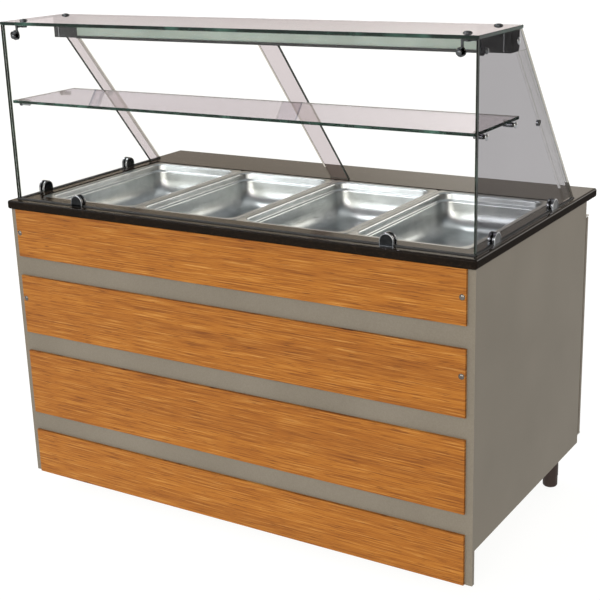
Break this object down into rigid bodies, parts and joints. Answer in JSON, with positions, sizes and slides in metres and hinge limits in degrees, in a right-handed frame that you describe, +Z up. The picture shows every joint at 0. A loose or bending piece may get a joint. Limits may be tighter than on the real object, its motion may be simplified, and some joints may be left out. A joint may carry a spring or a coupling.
{
  "type": "refrigerated_buffet_counter",
  "caption": "Long refrigerated buffet counter with lift-out pans in a black worktop, a glass guard with shelf and lamp, bamboo planked front and rear doors",
  "frame": {"origin": "on the floor, under the middle of the counter's outline", "axes": "+X along the counter to the right as the customer sees it, +Y from the customer's side to the operator's side, +Z up"},
  "size_m": [1.42, 0.805, 1.351],
  "materials": {
    "worktop_black": "polished black stone with rounded edges",
    "grey_board": "matt grey laminate on board",
    "grey_paint": "grey baked paint on sheet steel",
    "bamboo": "bamboo planks, satin lacquer",
    "stainless": "brushed stainless steel, pans polished",
    "chrome": "bright chrome",
    "clear_glass": "clear toughened glass with green edges",
    "lamp_shell": "satin aluminium extrusion",
    "dark_plastic": "dark grey moulded plastic",
    "lamp_opal": "opal light strip",
    "foam": "rigid foam, skinned",
    "seal_rubber": "soft magnetic seal",
    "copper": "bright copper tube",
    "black_enamel": "black enamel",
    "key_plastic": "glossy black plastic"
  },
  "bodies": {
    "counter": {"worktop": "worktop_black", "left_side_panel": "grey_board", "right_side_panel": "grey_board", "front_panel": "grey_board", "plank_top": "bamboo", "plank_upper": "bamboo", "plank_lower": "bamboo", "plank_bottom": "bamboo", "plank_screws": "chrome", "base_panel": "grey_board", "rear_frame": "grey_board", "bay_partition": "grey_board", "well_liner": "stainless", "well_insulation": "foam", "evaporator_coil": "copper", "drain_spout": "stainless", "pan_bars": "stainless", "front_glass": "clear_glass", "left_side_glass": "clear_glass", "right_side_glass": "clear_glass", "top_glass": "clear_glass", "shelf_glass": "clear_glass", "rear_struts": "clear_glass", "lamp_housing": "lamp_shell", "lamp_end_boxes": "dark_plastic", "lamp_diffuser": "lamp_opal", "lamp_tube": "lamp_opal", "glass_clamps": "chrome", "top_fittings": "chrome", "shelf_pins": "chrome", "strut_clips": "chrome", "hinge_brackets": "stainless", "reserve_shelf": "stainless", "machine_panel": "grey_paint", "control_plate": "dark_plastic", "leg_sleeves": "dark_plastic", "compressor": "black_enamel", "condenser": "stainless", "fan_frame": "dark_plastic", "pipes": "copper"},
    "pan_1": {"pan_1": "stainless"},
    "pan_2": {"pan_2": "stainless"},
    "pan_3": {"pan_3": "stainless"},
    "pan_4": {"pan_4": "stainless"},
    "left_door": {"left_door_panel": "grey_board", "left_door_plug": "foam", "left_door_gasket": "seal_rubber"},
    "right_door": {"right_door_panel": "grey_board", "right_door_plug": "foam", "right_door_gasket": "seal_rubber"},
    "drain_lever": {"drain_lever": "dark_plastic"},
    "power_rocker": {"power_rocker": "key_plastic"},
    "light_rocker": {"light_rocker": "key_plastic"},
    "up_button": {"up_button": "key_plastic"},
    "down_button": {"down_button": "key_plastic"},
    "foot_front_left": {"foot_front_left": "dark_plastic"},
    "foot_front_right": {"foot_front_right": "dark_plastic"},
    "foot_rear_left": {"foot_rear_left": "dark_plastic"},
    "foot_rear_right": {"foot_rear_right": "dark_plastic"},
    "fan_rotor": {"fan_rotor": "dark_plastic"}
  },
  "joints": [
    {"name": "pan_1_slide", "type": "slide", "parent": "counter", "child": "pan_1", "axis": [0, 0, 1], "range_m": [0, 0.12]},
    {"name": "pan_2_slide", "type": "slide", "parent": "counter", "child": "pan_2", "axis": [0, 0, 1], "range_m": [0, 0.015]},
    {"name": "pan_3_slide", "type": "slide", "parent": "counter", "child": "pan_3", "axis": [0, 0, 1], "range_m": [0, 0.015]},
    {"name": "pan_4_slide", "type": "slide", "parent": "counter", "child": "pan_4", "axis": [0, 0, 1], "range_m": [0, 0.12]},
    {"name": "left_door_hinge", "type": "hinge", "parent": "counter", "child": "left_door", "pos_m": [-0.278, 0.3515, 0.471], "axis": [0, 0, 1], "range_deg": [0, 105]},
    {"name": "right_door_hinge", "type": "hinge", "parent": "counter", "child": "right_door", "pos_m": [0.695, 0.3515, 0.471], "axis": [0, 0, -1], "range_deg": [0, 105]},
    {"name": "drain_lever_hinge", "type": "hinge", "parent": "counter", "child": "drain_lever", "pos_m": [0, -0.0545, 0.617], "axis": [0, 1, 0], "range_deg": [0, 90]},
    {"name": "power_rocker_hinge", "type": "hinge", "parent": "counter", "child": "power_rocker", "pos_m": [-0.4585, 0.3595, 0.719], "axis": [1, 0, 0], "range_deg": [-8, 8]},
    {"name": "light_rocker_hinge", "type": "hinge", "parent": "counter", "child": "light_rocker", "pos_m": [-0.4325, 0.3595, 0.719], "axis": [1, 0, 0], "range_deg": [-8, 8]},
    {"name": "up_button_slide", "type": "slide", "parent": "counter", "child": "up_button", "axis": [0, -1, 0], "range_m": [0, 0.0015], "stiffness_N_per_m": 400},
    {"name": "down_button_slide", "type": "slide", "parent": "counter", "child": "down_button", "axis": [0, -1, 0], "range_m": [0, 0.0015], "stiffness_N_per_m": 400},
    {"name": "foot_front_left_slide", "type": "slide", "parent": "counter", "child": "foot_front_left", "axis": [0, 0, -1], "range_m": [0, 0.03]},
    {"name": "foot_front_right_slide", "type": "slide", "parent": "counter", "child": "foot_front_right", "axis": [0, 0, -1], "range_m": [0, 0.03]},
    {"name": "foot_rear_left_slide", "type": "slide", "parent": "counter", "child": "foot_rear_left", "axis": [0, 0, -1], "range_m": [0, 0.03]},
    {"name": "foot_rear_right_slide", "type": "slide", "parent": "counter", "child": "foot_rear_right", "axis": [0, 0, -1], "range_m": [0, 0.03]},
    {"name": "fan_rotor_spin", "type": "hinge", "parent": "counter", "child": "fan_rotor", "pos_m": [-0.4925, 0.2385, 0.268], "axis": [0, 1, 0], "continuous": true}
  ]
}
